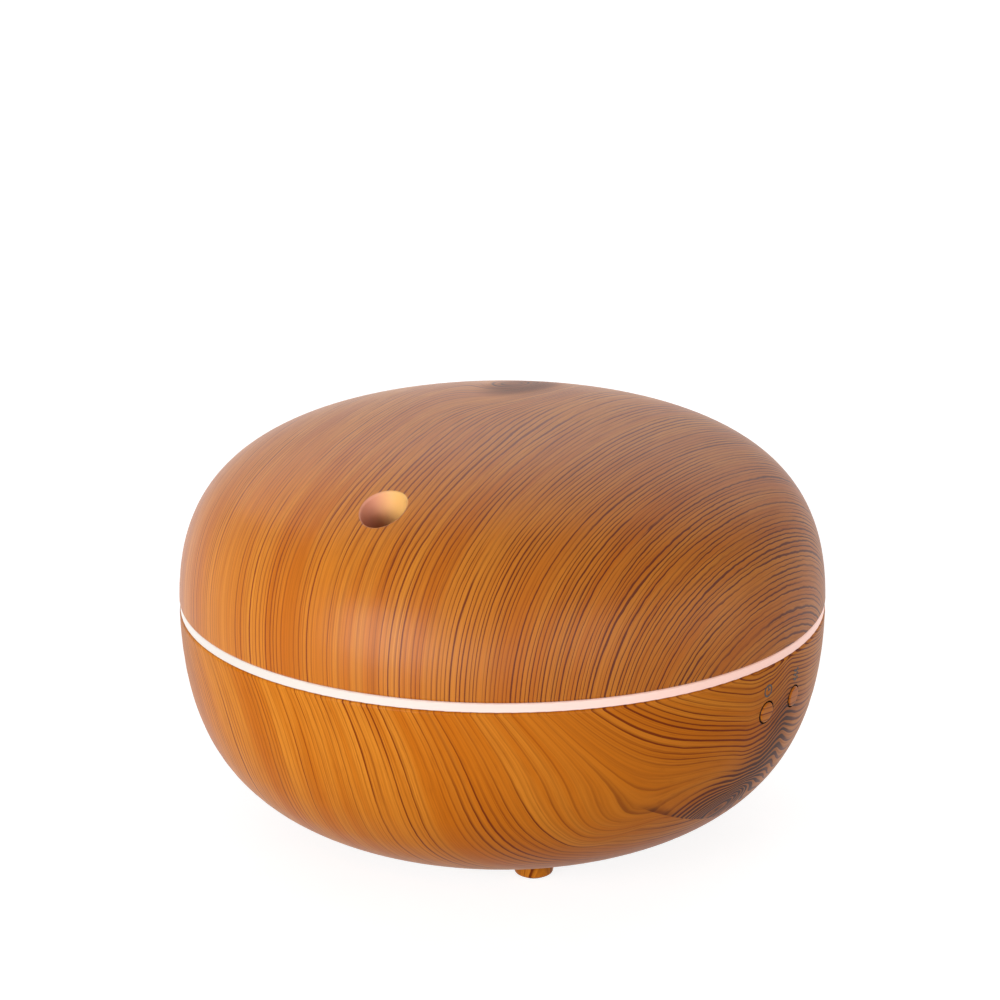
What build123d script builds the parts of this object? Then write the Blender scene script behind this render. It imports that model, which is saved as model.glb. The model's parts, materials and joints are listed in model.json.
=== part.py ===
from build123d import *
import math
import os

# Ultrasonic cool mist humidifier with a wood-finished pebble body. All sizes are in millimetres.
# The origin is the centre of the footprint, on the surface that it stands on. +Z is up, the
# front is -Y and the two buttons are on the +X side.
# From below: a bowl-shaped lower shell on four moulded feet carries the fan, the circuit board
# and the button board. The water tank closes it, held by four screws through the feet, and the
# ultrasonic disc hangs under the tank's floor. A light ring lies in the seam, and the cover
# with its liner and mist outlet lifts off.

# ---- outer form ----
body_radius = 84.0  # the widest circle, in the seam plane
crown_height = 49.5  # seam plane to the top of the cover
crown_side_handle = 30.7  # curve handle up from the seam
crown_top_handle = 68.8  # curve handle out from the top
bowl_depth = 62.0  # seam plane to where the bowl's curve would close
bowl_side_handle = 47.4  # curve handle down from the seam
bowl_base_handle = 60.2  # curve handle out from the bottom
base_rise = 6.0  # flat base above the place where the curve would close
base_edge_round = 3.0
rim_round = 0.7  # rounding of the shells' rims at the seam

# ---- cover ----
cover_wall = 2.4
outlet_radius = 5.5  # mist outlet, a vertical tube
outlet_wall = 1.6
outlet_offset = 60.9  # outlet axis from the body's axis
outlet_azimuth = 6.4  # degrees from the front towards the buttons
outlet_edge_round = 0.6
outlet_reach = 2.0  # tube below the liner
liner_gap = 6.6  # between cover and liner
liner_wall = 1.6
liner_lift = 0.3  # liner's rim above the light ring
liner_flange_rise = 3.6  # rim of the cover to the liner's flange
liner_ledge_width = 3.0
liner_ledge_height = 2.0

# ---- light ring ----
ring_height = 2.4
ring_inset = 0.25  # band behind the shells' outer circle
ring_edge_round = 0.3
ring_skirt_wall = 1.9
ring_skirt_height = 3.4

# ---- lower shell ----
shell_wall = 2.5
foot_circle = 42.0  # foot axes from the body's axis
foot_top_radius = 5.9
foot_bottom_radius = 4.8
foot_height = 4.7
foot_edge_round = 0.8
pad_radius = 3.7
pad_height = 1.7
pad_proud = 0.5
grille_slot_width = 2.0
grille_slot_count = 16
grille_hub_radius = 6.0
grille_margin = 1.0  # slot ends inside the sealing rib
intake_rib_wall = 1.3
led_rib_count = 8
led_rib_thickness = 1.6
led_rib_height = 4.0
led_rib_width = 4.2

# ---- water tank ----
tank_wall = 2.0
tank_draft = 7.1  # mouth radius to floor radius
tank_corner = 12.0
tank_lip_height = 4.0  # lip above the light ring
tank_flange_thickness = 2.2
tank_level_drop = 4.0  # fill line below the air column's top
level_rib_height = 0.8
level_rib_depth = 0.5
post_radius = 3.6
column_radius = 11.0
column_drop = 8.4  # top of the air column below the tank's lip
funnel_radius = 21.0
funnel_height = 11.0
hood_radius = 14.0
hood_gap = 4.5
hood_wall = 1.5
hood_rim = 2.5
hood_spigot = 6.0
hood_leg_width = 3.0
hood_leg_count = 3

# ---- ultrasonic disc, under the tank's floor ----
disc_x, disc_y = 12.0, -12.0
disc_radius = 10.0
disc_thickness = 1.2
electrode_radius = 5.5
electrode_height = 0.2
disc_window = 8.0  # radius of the hole that the disc works through
window_bevel = 1.5
seal_radius = 12.0
seal_thickness = 4.0
clamp_thickness = 1.5
clamp_radius = 17.0
clamp_screw_circle = 14.6
clamp_screw_count = 3

# ---- fan ----
fan_x, fan_y = -28.0, 0.0
fan_size = 40.0
fan_height = 10.0
fan_corner = 3.0
gasket_thickness = 3.3
fan_hole_pitch = 32.0
fan_throat = 19.0
fan_standoff = 2.0
fan_strut_width = 2.4
fan_strut_count = 4
fan_plate = 1.4
hub_radius = 11.5
hub_wall = 1.2
hub_play = 0.5  # rotor to frame, axially
tip_play = 0.6
blade_count = 7
blade_thickness = 1.0
blade_height = 5.6
blade_root_pitch = 42.0
blade_tip_pitch = 28.0
magnet_wall = 1.4
air_gap = 0.4
pole_count = 4
pole_width = 3.0
pole_shoe = 1.0
pole_gap = 1.2
bearing_radius = 2.6
bearing_tube_wall = 1.0
fan_shaft_radius = 1.0
bearing_play = 0.03

# ---- circuit board ----
board_standoff = 3.0
board_thickness = 1.6
board_width = 50.0
board_front = 23.0
board_headroom = 1.0  # tallest part on the board to the tank
board_boss_radius = 2.6
board_boss_x = 21.0
board_boss_y = 27.0
board_boss_rear = 42.0
jack_width = 9.0
jack_height = 9.4
jack_length = 11.0
jack_nose_radius = 4.0
jack_bore = 3.0
jack_back_wall = 1.6
jack_pin_radius = 1.05
jack_pin_length = 9.5
recess_radius = 5.2
recess_wall = 1.5

# ---- parts on the circuit board: places from the middle of its front edge ----
sink_x, sink_y = -13.0, 12.0
sink_width, sink_height = 11.0, 9.0
sink_base, sink_fin_length = 2.6, 4.0
sink_fin_count, sink_fin_thickness = 4, 1.2
transistor_width, transistor_depth, transistor_height = 9.0, 2.4, 8.0
coil_x, coil_y = 12.5, 14.0
coil_radius, coil_height, coil_flange = 4.6, 8.0, 1.2
coil_winding_radius = 3.9
capacitor_radius, capacitor_height = 3.1, 7.5
capacitor_places = [(3.5, 6.0), (-4.5, 6.0), (14.0, 24.5)]
chip_size = (8.0, 5.0, 1.5)
chip_x, chip_y = 1.5, 15.0
socket_size = (6.0, 4.5, 5.0)
socket_wall = 0.7
disc_socket = (13.0, 4.5)
fan_socket = (-13.0, 4.5)
led_socket = (-12.5, 25.5)
button_socket = (21.5, 11.5)

# ---- wires inside the base ----
wire_radius = 0.55
wire_bend = 1.6
wire_gap = 0.6  # wires to what they pass
wire_wall_gap = 3.0  # where wires turn up to the shell's wall
wire_post_gap = 3.2  # wire to the post that it passes

# ---- light-emitting diodes ----
led_board_thickness = 1.0
led_board_width = 5.4
led_board_below_rim = 6.4  # shell rim to the underside of the ring board
led_count = 12
led_size = 2.8
led_height = 1.4

# ---- buttons, on the +X side ----
button_drop = 13.3  # seam plane to the button axes
button_spacing = 13.5
button_radius = 2.65
button_hole_play = 0.35
button_proud = 0.35
button_edge_round = 0.5
button_flange_radius = 3.7
button_flange_thickness = 0.9
button_travel = 0.5
switch_size = 6.0
switch_depth = 3.3
plunger_radius = 1.5
plunger_length = 2.4
plunger_overlap = 1.0  # plunger inside the switch at rest
button_board_thickness = 1.2
button_board_width = 37.0
button_board_height = 8.2
button_boss_radius = 2.4
button_boss_spacing = 31.0

# ---- fasteners: shanks with their length under the head, and heads ----
case_screw_radius, case_screw_length = 1.45, 14.0
case_head_radius, case_head_height = 2.6, 2.0
small_screw_radius, small_screw_length = 1.0, 5.0
small_head_radius, small_head_height = 1.9, 1.2
fan_screw_radius = 1.4
fan_head_radius, fan_head_height = 2.1, 1.6
fan_screw_bite = 3.2
screw_tip_gap = 0.3  # pilot hole beyond the screw's tip
screw_seat = 3.5  # material under the case screws' heads

# ---- clearances ----
seat_clearance = 0.3  # parts that drop over or into each other
fit_clearance = 0.15  # parts pushed into each other
screw_clearance = 0.05  # shank in its pilot hole

# ---- levels, worked out from the sizes above ----
foot_bottom = pad_proud
base_z = foot_bottom + foot_height
seam_z = base_z + bowl_depth - base_rise
floor_z = base_z + shell_wall
shell_rim_z = seam_z - ring_height / 2
cover_rim_z = seam_z + ring_height / 2
top_z = seam_z + crown_height
tank_lip_z = cover_rim_z + tank_lip_height
column_top = tank_lip_z - column_drop
tank_level = column_top - tank_level_drop
liner_inset = cover_wall + liner_gap
column_bore = column_radius - tank_wall
foot_seat_z = floor_z - screw_seat
ring_skirt_radius = body_radius - shell_wall - seat_clearance
flange_radius = ring_skirt_radius - ring_skirt_wall - seat_clearance
fan_base_z = floor_z + fan_standoff
fan_top_z = fan_base_z + fan_height
board_z = floor_z + board_standoff
board_top_z = board_z + board_thickness
tallest_on_board = max(jack_height, sink_height, coil_height, capacitor_height)
tank_under_z = max(fan_top_z + gasket_thickness, board_top_z + tallest_on_board + board_headroom)
tank_floor_height = tank_under_z + tank_wall
jack_z = board_top_z + jack_height / 2
led_board_z = shell_rim_z - led_board_below_rim
button_z = seam_z - button_drop
BEYOND = 2 * body_radius  # longer than anything that it cuts
CIRCLE = 4 / 3 * (math.sqrt(2) - 1)  # handle of a quarter circle of radius 1


# ---- shared shapes ----
def rod(radius, low, high, x=0.0, y=0.0):
    """A vertical cylinder between two heights."""
    return Pos(x, y, (low + high) / 2) * Cylinder(radius, high - low)


def ring(outer, inner, low, high, x=0.0, y=0.0):
    """A vertical tube between two heights."""
    return rod(outer, low, high, x, y) - rod(inner, low - 1, high + 1, x, y)


def cone(low_radius, high_radius, low, high, x=0.0, y=0.0):
    """A vertical cone frustum between two heights."""
    return Pos(x, y, (low + high) / 2) * Cone(low_radius, high_radius, high - low)


def block(size, centre):
    return Pos(*centre) * Box(*size)


def turned(part, degrees):
    return Rot(0, 0, degrees) * part


def band(low, high, outer=BEYOND, inner=0.0):
    """A rectangle of the half section between two heights and two radii."""
    points = [(inner, 0, low), (outer, 0, low), (outer, 0, high), (inner, 0, high)]
    return make_face(Polyline(*points, close=True))


def under(curve):
    """The part of the half section between a curve and the axis."""
    rim, pole = curve @ 0, curve @ 1
    centre = Vector(0, 0, rim.Z)
    return make_face([curve, Line(pole, centre), Line(centre, rim)])


def radius_at(handles, z):
    """The radius of a body curve at a height."""
    curve = Bezier(*handles)
    rising = (curve @ 1).Z > (curve @ 0).Z
    low, high = 0.0, 1.0
    for _ in range(40):
        middle = (low + high) / 2
        if ((curve @ middle).Z > z) == rising:
            high = middle
        else:
            low = middle
    return (curve @ low).X


def spun(half):
    """A half section revolved about the axis."""
    return revolve(half, Axis.Z, 360)


def crown_handles(inset):
    radius, height = body_radius - inset, crown_height - inset
    side, top = crown_side_handle - CIRCLE * inset, crown_top_handle - CIRCLE * inset
    pole = seam_z + height
    return [(radius, 0, seam_z), (radius, 0, seam_z + side), (top, 0, pole), (0, 0, pole)]


def crown_half(inset):
    """Half section of the cover's dome above the seam plane, drawn in by inset."""
    return under(Bezier(*crown_handles(inset)))


def crown(inset):
    return spun(crown_half(inset))


def bowl_handles(inset):
    radius, depth = body_radius - inset, bowl_depth - inset
    side, base = bowl_side_handle - CIRCLE * inset, bowl_base_handle - CIRCLE * inset
    pole = seam_z - depth
    return [(radius, 0, seam_z), (radius, 0, seam_z - side), (base, 0, pole), (0, 0, pole)]


def bowl_half(inset):
    """Half section of the lower shell's bowl below the seam plane, drawn in by inset."""
    return under(Bezier(*bowl_handles(inset)))


def bowl(inset):
    return spun(bowl_half(inset))


def bowl_radius(inset, z):
    return radius_at(bowl_handles(inset), z)


def screw(shank, length, head_radius, head_height):
    """A cross-head screw along -Z with the underside of its head at the origin."""
    body = rod(head_radius, 0, head_height) + rod(shank, -length, 0)
    slot = block((head_radius * 1.2, shank * 0.5, head_height), (0, 0, head_height))
    return body - slot - Rot(0, 0, 90) * slot


def corners(circle):
    """The four places on a circle at 45 degrees to the axes."""
    return [(circle * math.cos(a), circle * math.sin(a)) for a in (math.pi / 4 * k for k in (1, 3, 5, 7))]


def around(count, radius, start=0.0):
    """Places evenly round a circle, each with its angle in degrees."""
    angles = [start + k * 360 / count for k in range(count)]
    return [(radius * math.cos(math.radians(a)), radius * math.sin(math.radians(a)), a) for a in angles]


def outlet_distance(point):
    """How far a point lies from the axis of the mist outlet."""
    return math.hypot(point.X - outlet_x, point.Y - outlet_y)


def along_x(radius, near, far, y):
    """A cylinder along +X at the buttons' height, between two distances from the body's axis."""
    return Pos((near + far) / 2, y, button_z) * Rot(0, 90, 0) * Cylinder(radius, far - near)


def along_y(radius, near, far):
    """A cylinder along +Y on the power socket's axis."""
    return Pos(0, (near + far) / 2, jack_z) * Rot(90, 0, 0) * Cylinder(radius, far - near)


# ---- places that follow the body's curves ----
tank_lip_radius = radius_at(crown_handles(liner_inset + liner_wall), tank_lip_z) - seat_clearance
tank_mouth_radius = tank_lip_radius - tank_wall
tank_floor_radius = tank_mouth_radius - tank_draft
board_arc = bowl_radius(shell_wall, board_z) - seat_clearance  # the board's rear edge
jack_face = math.sqrt(bowl_radius(shell_wall, board_top_z) ** 2 - (jack_width / 2) ** 2) - seat_clearance
jack_back = jack_face - jack_length
recess_floor = jack_face + recess_wall
outlet_x = outlet_offset * math.sin(math.radians(outlet_azimuth))
outlet_y = -outlet_offset * math.cos(math.radians(outlet_azimuth))


# ---- cover ----
def top_cover():
    half = (crown_half(0) - crown_half(cover_wall)) & band(cover_rim_z, top_z + 1)
    shell = spun(half)
    shell = fillet(shell.edges().group_by(Axis.Z)[0], rim_round)
    ledge_low = cover_rim_z + liner_flange_rise + liner_wall
    ledge = band(ledge_low, ledge_low + liner_ledge_height) & crown_half(cover_wall / 2)
    shell += spun(ledge - crown_half(cover_wall + liner_ledge_width))
    tube = rod(outlet_radius + outlet_wall, cover_rim_z, top_z, outlet_x, outlet_y) & crown(cover_wall / 2)
    tube -= crown(liner_inset + liner_wall + outlet_reach)
    cover = shell + tube - rod(outlet_radius, cover_rim_z, top_z + 1, outlet_x, outlet_y)
    bore = cover.edges().filter_by(lambda e: abs(outlet_distance(e @ 0.5) - outlet_radius) < 0.01)
    return fillet(max(bore, key=lambda e: (e @ 0.5).Z), outlet_edge_round)


def cover_liner():
    low = cover_rim_z + liner_lift
    dome = (crown_half(liner_inset) - crown_half(liner_inset + liner_wall)) & band(low, top_z)
    flange_z = cover_rim_z + liner_flange_rise
    flange = band(flange_z, flange_z + liner_wall) & crown_half(cover_wall + seat_clearance)
    flange -= crown_half(liner_inset + liner_wall / 2)
    hole = rod(outlet_radius + outlet_wall + seat_clearance, low, top_z, outlet_x, outlet_y)
    return spun(dome + flange) - hole


# ---- light ring ----
def light_ring():
    inner = tank_lip_radius + seat_clearance
    band = ring(body_radius - ring_inset, inner, shell_rim_z, cover_rim_z)
    outer_face = band.faces().filter_by(GeomType.CYLINDER).sort_by(SortBy.AREA)[-1]
    band = fillet(outer_face.edges().filter_by(GeomType.CIRCLE), ring_edge_round)
    skirt_low = shell_rim_z - ring_skirt_height
    return band + ring(ring_skirt_radius, ring_skirt_radius - ring_skirt_wall, skirt_low, shell_rim_z)


# ---- lower shell ----
def foot(x, y):
    """A foot, run up into the base so that it meets the curve."""
    peg = cone(foot_bottom_radius, foot_top_radius, foot_bottom, floor_z - shell_wall / 2, x, y)
    return fillet(peg.edges().group_by(Axis.Z)[0], foot_edge_round)


def lower_shell():
    half = bowl_half(0) & band(base_z, shell_rim_z)
    half -= bowl_half(shell_wall) & band(floor_z, seam_z)
    solid = spun(half)
    solid = fillet(solid.edges().group_by(Axis.Z)[-1], rim_round)
    solid = fillet(solid.edges().group_by(Axis.Z)[0], base_edge_round)
    # socket recess: a cup sunk into the rear wall
    solid += along_y(recess_radius + recess_wall, jack_face, body_radius) & bowl(shell_wall / 2)
    solid -= along_y(recess_radius, recess_floor, body_radius)
    solid -= along_y(jack_nose_radius + fit_clearance, jack_back, body_radius)
    # feet, each with a recess for its pad and screw
    for x, y in corners(foot_circle):
        solid += foot(x, y)
    for x, y in corners(foot_circle):
        solid -= rod(pad_radius + fit_clearance, foot_bottom - 1, pad_height, x, y)
        solid -= rod(case_head_radius + seat_clearance, foot_bottom, foot_seat_z, x, y)
        solid -= rod(case_screw_radius + fit_clearance, foot_bottom, floor_z + 1, x, y)
    # air intake under the fan, inside a sealing rib
    solid += ring(fan_throat + intake_rib_wall, fan_throat, floor_z - 1, fan_base_z, fan_x, fan_y)
    slot_length = fan_throat - grille_margin - grille_hub_radius
    for x, y, angle in around(grille_slot_count, grille_hub_radius + slot_length / 2):
        slot = Rot(0, 0, angle) * Box(slot_length, grille_slot_width, 3 * shell_wall)
        solid -= Pos(fan_x + x, fan_y + y, base_z) * slot
    # bosses under the fan's corners and the circuit board
    for x, y in fan_holes():
        solid += rod(board_boss_radius, floor_z - 1, fan_base_z, x, y)
        low = fan_base_z - fan_screw_bite - screw_tip_gap
        solid -= rod(fan_screw_radius + screw_clearance, low, fan_base_z + 1, x, y)
    for x, y in board_holes():
        solid += rod(board_boss_radius, floor_z - 1, board_z, x, y)
        low = board_top_z - small_screw_length - screw_tip_gap
        solid -= rod(small_screw_radius + screw_clearance, low, board_z + 1, x, y)
    # ribs that carry the ring of diodes
    reach = bowl_radius(shell_wall, led_board_z - led_rib_height)
    for _, _, angle in around(led_rib_count, 1, 180 / led_rib_count):
        rib = block((led_rib_width + shell_wall, led_rib_thickness, led_rib_height), (0, 0, 0))
        rib = Pos(reach - led_rib_width / 2 + shell_wall / 2, 0, led_board_z - led_rib_height / 2) * rib
        solid += turned(rib, angle) & bowl(shell_wall / 2)
    # buttons: holes, and the bosses that carry their board
    for y in button_axes:
        solid -= along_x(button_radius + button_hole_play, body_radius / 2, body_radius + 1, y)
    for y in button_boss_axes:
        solid += along_x(button_boss_radius, button_board_face, body_radius, y) & bowl(shell_wall / 2)
        solid -= along_x(small_screw_radius + screw_clearance, 0, button_board_face + small_screw_length, y)
    return solid


def foot_pads():
    pad = rod(pad_radius, 0, pad_height)
    pad = chamfer(pad.edges().group_by(Axis.Z)[0], pad_proud * 0.6)
    return Compound([Pos(x, y, 0) * pad for x, y in corners(foot_circle)])


def case_screws():
    one = Rot(180, 0, 0) * screw(case_screw_radius, case_screw_length, case_head_radius, case_head_height)
    return Compound([Pos(x, y, foot_seat_z) * one for x, y in corners(foot_circle)])


# ---- water tank ----
def tank_cone(draw_in):
    """The tank's body, drawn in by draw_in on every side."""
    low = tank_under_z + draw_in
    body = cone(tank_floor_radius + tank_wall - draw_in, tank_lip_radius - draw_in, low, tank_lip_z)
    return fillet(body.edges().group_by(Axis.Z)[0], tank_corner + tank_wall - draw_in)


def water_tank():
    tank = tank_cone(0)
    flange = rod(flange_radius, shell_rim_z - tank_flange_thickness, shell_rim_z)
    hollow = tank_cone(tank_wall) + rod(tank_mouth_radius, tank_lip_z, tank_lip_z + 1)
    tank = tank + flange - hollow
    level = rod(BEYOND, tank_level, tank_level + level_rib_height) & tank_cone(tank_wall / 2)
    tank += level - tank_cone(tank_wall + level_rib_depth)
    # window for the ultrasonic disc, and the hole under the air column
    tank -= rod(disc_window, tank_under_z - 1, tank_floor_height + 1, disc_x, disc_y)
    low = tank_floor_height - window_bevel
    tank -= cone(disc_window, disc_window + window_bevel, low, tank_floor_height, disc_x, disc_y)
    return tank - rod(funnel_radius - tank_wall, tank_under_z - 1, tank_floor_height + 1, fan_x, fan_y)


def air_column():
    """A funnel on the tank's floor, with the tube that carries the air above the water."""
    low, high = tank_floor_height, tank_floor_height + funnel_height
    column = cone(funnel_radius, column_radius, low, high, fan_x, fan_y)
    column += rod(column_radius, high, column_top, fan_x, fan_y)
    column -= cone(funnel_radius - tank_wall, column_bore, low, high, fan_x, fan_y)
    return column - rod(column_bore, high, column_top + 1, fan_x, fan_y)


def tank_posts():
    """Posts that carry the tank on the shell's floor, bored for the case screws."""
    high = foot_seat_z + case_screw_length + screw_tip_gap
    post = ring(post_radius, case_screw_radius + screw_clearance, floor_z, high)
    post += rod(post_radius, high, tank_under_z)
    return Compound([Pos(x, y, 0) * post for x, y in corners(foot_circle)])


def duct_hood():
    """The cap that keeps water out of the air column: a brimmed disc on legs with a push-in collar."""
    plate_z = column_top + hood_gap
    cap = rod(hood_radius, plate_z - hood_rim, plate_z + hood_wall, fan_x, fan_y)
    cap = fillet(cap.edges().group_by(Axis.Z)[-1], hood_wall * 0.8)
    cap -= rod(hood_radius - hood_wall, plate_z - hood_rim - 1, plate_z, fan_x, fan_y)
    collar_radius = column_bore - fit_clearance
    low = column_top - hood_spigot
    cap += ring(collar_radius, collar_radius - hood_wall, low, low + hood_spigot / 2, fan_x, fan_y)
    column = ring(collar_radius, collar_radius - hood_wall, low, plate_z, fan_x, fan_y)
    for x, y, angle in around(hood_leg_count, collar_radius):
        leg = Rot(0, 0, angle) * Box(3 * hood_wall, hood_leg_width, plate_z - low)
        cap += Pos(fan_x + x, fan_y + y, (plate_z + low) / 2) * leg & column
    return cap


# ---- ultrasonic disc ----
def clamp_holes():
    return [(disc_x + x, disc_y + y) for x, y, _ in around(clamp_screw_count, clamp_screw_circle, 90)]


disc_z = tank_under_z - seal_thickness / 2 - disc_thickness / 2


def disc_housing():
    """The collar under the tank that holds the disc's seal."""
    low = tank_under_z - seal_thickness
    collar = ring(clamp_radius, seal_radius + fit_clearance, low, tank_under_z, disc_x, disc_y)
    for x, y in clamp_holes():
        high = low - clamp_thickness + small_screw_length + screw_tip_gap
        collar -= rod(small_screw_radius + screw_clearance, low - 1, high, x, y)
    return collar


def transducer_disc():
    """A ceramic disc with its raised electrode underneath."""
    disc = rod(disc_radius, disc_z, disc_z + disc_thickness, disc_x, disc_y)
    return disc + rod(electrode_radius, disc_z - electrode_height, disc_z, disc_x, disc_y)


def transducer_seal():
    """A silicone ring with a groove that holds the disc's edge."""
    low = tank_under_z - seal_thickness
    seal = ring(seal_radius, disc_window, low, tank_under_z, disc_x, disc_y)
    return seal - rod(disc_radius, disc_z, disc_z + disc_thickness, disc_x, disc_y)


def transducer_clamp():
    top = tank_under_z - seal_thickness
    plate = ring(clamp_radius, disc_window + 1, top - clamp_thickness, top, disc_x, disc_y)
    for x, y in clamp_holes():
        plate -= rod(small_screw_radius + fit_clearance, 0, top + 1, x, y)
    return plate


def transducer_screws():
    one = Rot(180, 0, 0) * screw(small_screw_radius, small_screw_length, small_head_radius, small_head_height)
    z = tank_under_z - seal_thickness - clamp_thickness
    return Compound([Pos(x, y, z) * one for x, y in clamp_holes()])


# ---- fan ----
hub_low = fan_base_z + fan_plate + hub_play
hub_high = fan_top_z - hub_play


def fan_frame():
    body = block((fan_size, fan_size, fan_height), (fan_x, fan_y, fan_base_z + fan_height / 2))
    body = fillet(body.edges().filter_by(Axis.Z), fan_corner)
    body -= rod(fan_throat, fan_base_z - 1, fan_top_z + 1, fan_x, fan_y)
    for _, _, angle in around(fan_strut_count, 1, 180 / fan_strut_count):
        strut = Pos(fan_throat / 2 + 0.5, 0, 0) * Box(fan_throat + 1, fan_strut_width, fan_plate)
        body += Pos(fan_x, fan_y, fan_base_z + fan_plate / 2) * Rot(0, 0, angle) * strut
    body += rod(hub_radius, fan_base_z, fan_base_z + fan_plate, fan_x, fan_y)
    # tube that holds the bearing
    body += rod(bearing_radius + bearing_tube_wall, fan_base_z, hub_high - hub_wall - hub_play, fan_x, fan_y)
    body -= rod(bearing_radius, fan_base_z + fan_plate, fan_top_z, fan_x, fan_y)
    for x, y in fan_holes():
        body -= rod(fan_screw_radius + fit_clearance, fan_base_z - 1, fan_top_z + 1, x, y)
    return body


def fan_holes():
    return [(fan_x + x, fan_y + y) for x, y in corners(fan_hole_pitch / math.sqrt(2))]


def fan_bearing():
    low, high = fan_base_z + fan_plate, hub_high - hub_wall - hub_play
    return ring(bearing_radius, fan_shaft_radius + bearing_play, low, high, fan_x, fan_y)


def fan_stator():
    """A core with four poles that end in shoes, round the bearing's tube."""
    outer = hub_radius - hub_wall - magnet_wall - air_gap
    inner = bearing_radius + bearing_tube_wall
    low, high = hub_low + hub_play, hub_high - hub_wall - 2 * hub_play
    stator = ring(inner + pole_shoe, inner, low, high) + ring(outer, outer - pole_shoe, low, high)
    for _, _, angle in around(pole_count, 1):
        middle = (low + high) / 2
        neck = block((outer - inner - pole_shoe, pole_width, high - low), ((inner + outer) / 2, 0, middle))
        gap = block((3 * pole_shoe, pole_gap, 2 * high), (outer, 0, middle))
        stator = stator + turned(neck, angle) - turned(gap, angle + 180 / pole_count)
    return Pos(fan_x, fan_y, 0) * stator


def fan_blade():
    """One blade along +X, twisted from root to tip."""
    sections = []
    for radius, pitch in ((hub_radius - hub_wall / 2, blade_root_pitch), (fan_throat, blade_tip_pitch)):
        length = blade_height / math.sin(math.radians(pitch))
        plane = Plane(origin=(radius, 0, 0), x_dir=(0, 1, 0), z_dir=(1, 0, 0))
        sections.append(plane * Rot(0, 0, pitch) * Rectangle(length, blade_thickness))
    return loft(sections)


def fan_rotor():
    """The hub, a cup over the motor, with its blades."""
    cup = rod(hub_radius, hub_low, hub_high, fan_x, fan_y)
    cup = fillet(cup.edges().group_by(Axis.Z)[-1], hub_wall * 0.8)
    cup -= rod(hub_radius - hub_wall, hub_low - 1, hub_high - hub_wall, fan_x, fan_y)
    blade = fan_blade() & rod(fan_throat - tip_play, -blade_height / 2, blade_height / 2)
    blade -= rod(hub_radius - hub_wall / 2, -blade_height, blade_height)
    for _, _, angle in around(blade_count, 1):
        cup += Pos(fan_x, fan_y, (hub_low + hub_high) / 2) * turned(blade, angle)
    return cup - rod(fan_shaft_radius, hub_low, fan_top_z, fan_x, fan_y)


def fan_magnet():
    outer = hub_radius - hub_wall
    return ring(outer, outer - magnet_wall, hub_low, hub_high - hub_wall, fan_x, fan_y)


def fan_shaft():
    return rod(fan_shaft_radius, fan_base_z + fan_plate + hub_play, hub_high, fan_x, fan_y)


gasket_radius = fan_hole_pitch / math.sqrt(2) - fan_head_radius - seat_clearance


def fan_gasket():
    """A foam ring between the fan and the tank's funnel."""
    return ring(gasket_radius, fan_throat, fan_top_z, tank_under_z, fan_x, fan_y)


def fan_screws():
    length = fan_height + fan_screw_bite
    one = screw(fan_screw_radius, length, fan_head_radius, fan_head_height)
    return Compound([Pos(x, y, fan_top_z) * one for x, y in fan_holes()])


# ---- circuit board ----
def board_holes():
    return [(x, y) for x in (-board_boss_x, board_boss_x) for y in (board_boss_y, board_boss_rear)]


def main_board():
    depth = board_arc - board_front
    board = block((board_width, depth, board_thickness * 2), (0, board_front + depth / 2, board_z))
    board &= rod(board_arc, board_z, board_top_z)
    for x, y in board_holes():
        board -= rod(small_screw_radius + fit_clearance, board_z - 1, board_top_z + 1, x, y)
    return board


def board_screws():
    one = screw(small_screw_radius, small_screw_length, small_head_radius, small_head_height)
    return Compound([Pos(x, y, board_top_z) * one for x, y in board_holes()])


def dc_jack():
    """A power socket: a block on the board with a round nose through the recess floor."""
    body = block((jack_width, jack_length, jack_height), (0, jack_face - jack_length / 2, jack_z))
    nose = along_y(jack_nose_radius, jack_face, recess_floor)
    return body + nose - along_y(jack_bore, jack_back + jack_back_wall, body_radius)


def jack_pin():
    start = jack_back + jack_back_wall
    pin = along_y(jack_pin_radius, start, start + jack_pin_length)
    return fillet(pin.edges().group_by(Axis.Y)[-1], jack_pin_radius * 0.4)


def on_board(x, y):
    """A place on the circuit board's upper face."""
    return Pos(x, board_front + y, board_top_z)


def heat_sink():
    """A finned aluminium block behind the drive transistor."""
    sink = block((sink_width, sink_base, sink_height), (0, sink_base / 2, sink_height / 2))
    spacing = (sink_width - sink_fin_thickness) / (sink_fin_count - 1)
    for k in range(sink_fin_count):
        x = (k - (sink_fin_count - 1) / 2) * spacing
        centre = (x, sink_base + sink_fin_length / 2, sink_height / 2)
        sink += block((sink_fin_thickness, sink_fin_length, sink_height), centre)
    return on_board(sink_x, sink_y) * sink


def drive_transistor():
    size = (transistor_width, transistor_depth, transistor_height)
    return on_board(sink_x, sink_y) * block(size, (0, -transistor_depth / 2, transistor_height / 2))


def drive_coil():
    """A drum-core choke: two flanges on a wound waist."""
    drum = rod(coil_radius, 0, coil_flange) + rod(coil_winding_radius, coil_flange, coil_height - coil_flange)
    return on_board(coil_x, coil_y) * (drum + rod(coil_radius, coil_height - coil_flange, coil_height))


def capacitors():
    can = rod(capacitor_radius, 0, capacitor_height)
    can = chamfer(can.edges().group_by(Axis.Z)[-1], capacitor_radius * 0.12)
    return Compound([on_board(x, y) * can for x, y in capacitor_places])


def control_chip():
    return on_board(chip_x, chip_y) * block(chip_size, (0, 0, chip_size[2] / 2))


def wire_sockets():
    width, depth, height = socket_size
    socket = block(socket_size, (0, 0, height / 2))
    hollow = (width - 2 * socket_wall, depth - 2 * socket_wall, height)
    socket -= block(hollow, (0, 0, height / 2 + socket_wall))
    places = (disc_socket, fan_socket, led_socket, button_socket)
    return Compound([on_board(x, y) * socket for x, y in places])


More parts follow.
